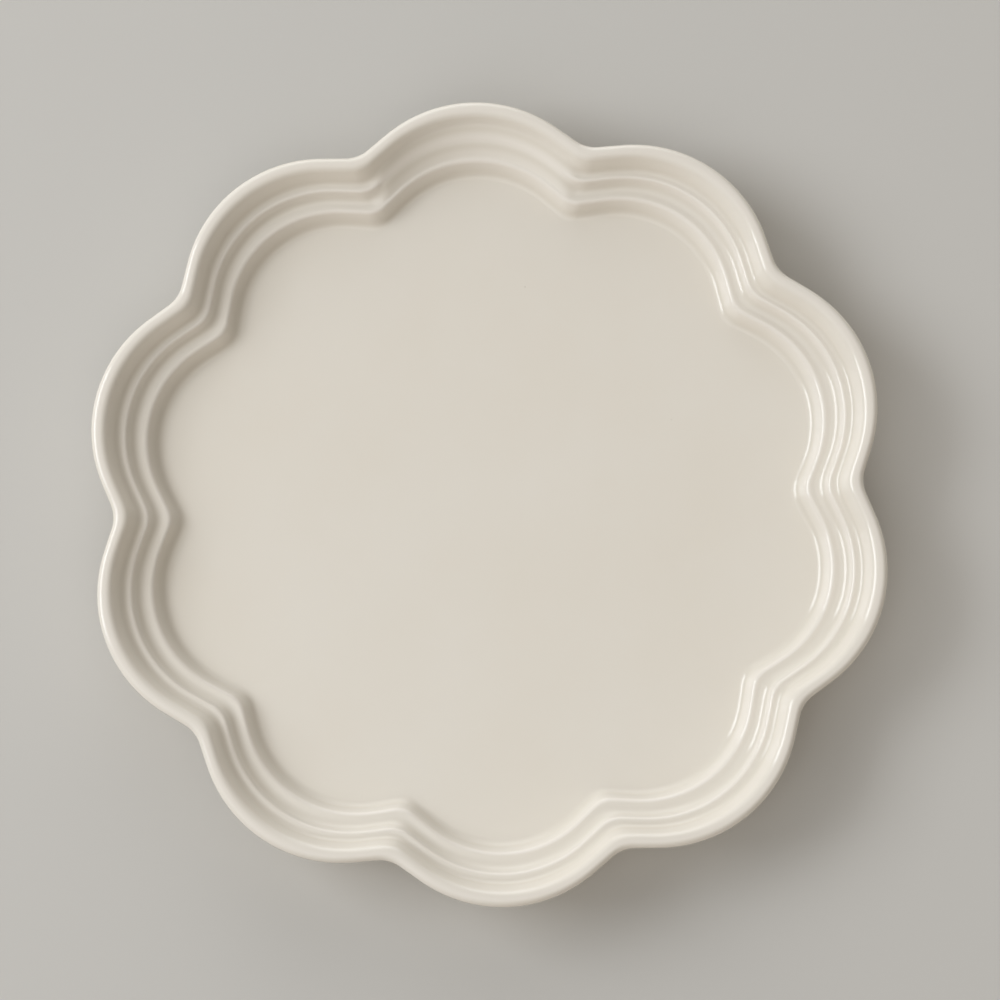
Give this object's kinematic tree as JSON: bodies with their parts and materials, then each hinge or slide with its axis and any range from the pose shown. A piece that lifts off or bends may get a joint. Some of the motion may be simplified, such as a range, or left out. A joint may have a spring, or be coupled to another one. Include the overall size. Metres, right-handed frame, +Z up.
{
  "type": "scalloped dessert plate",
  "caption": "Glazed stoneware dessert plate with a scalloped lip, a stepped rim with a smooth panel, a flat well and a bare foot ring, for serving cake or fruit.",
  "frame": {"origin": "centre of the foot ring, in the plane it stands on", "axes": "+Z is up, out of the well; +Y points to the middle of the lobe with the smooth panel; +X is to the right of it"},
  "size_m": [0.1936, 0.2, 0.0186],
  "materials": {
    "bisque": "unglazed, wiped and fired",
    "glaze": "glossy cream glaze"
  },
  "bodies": {
    "root": {"stoneware_body": "bisque", "face_glaze": "glaze", "base_glaze": "glaze"}
  },
  "joints": []
}
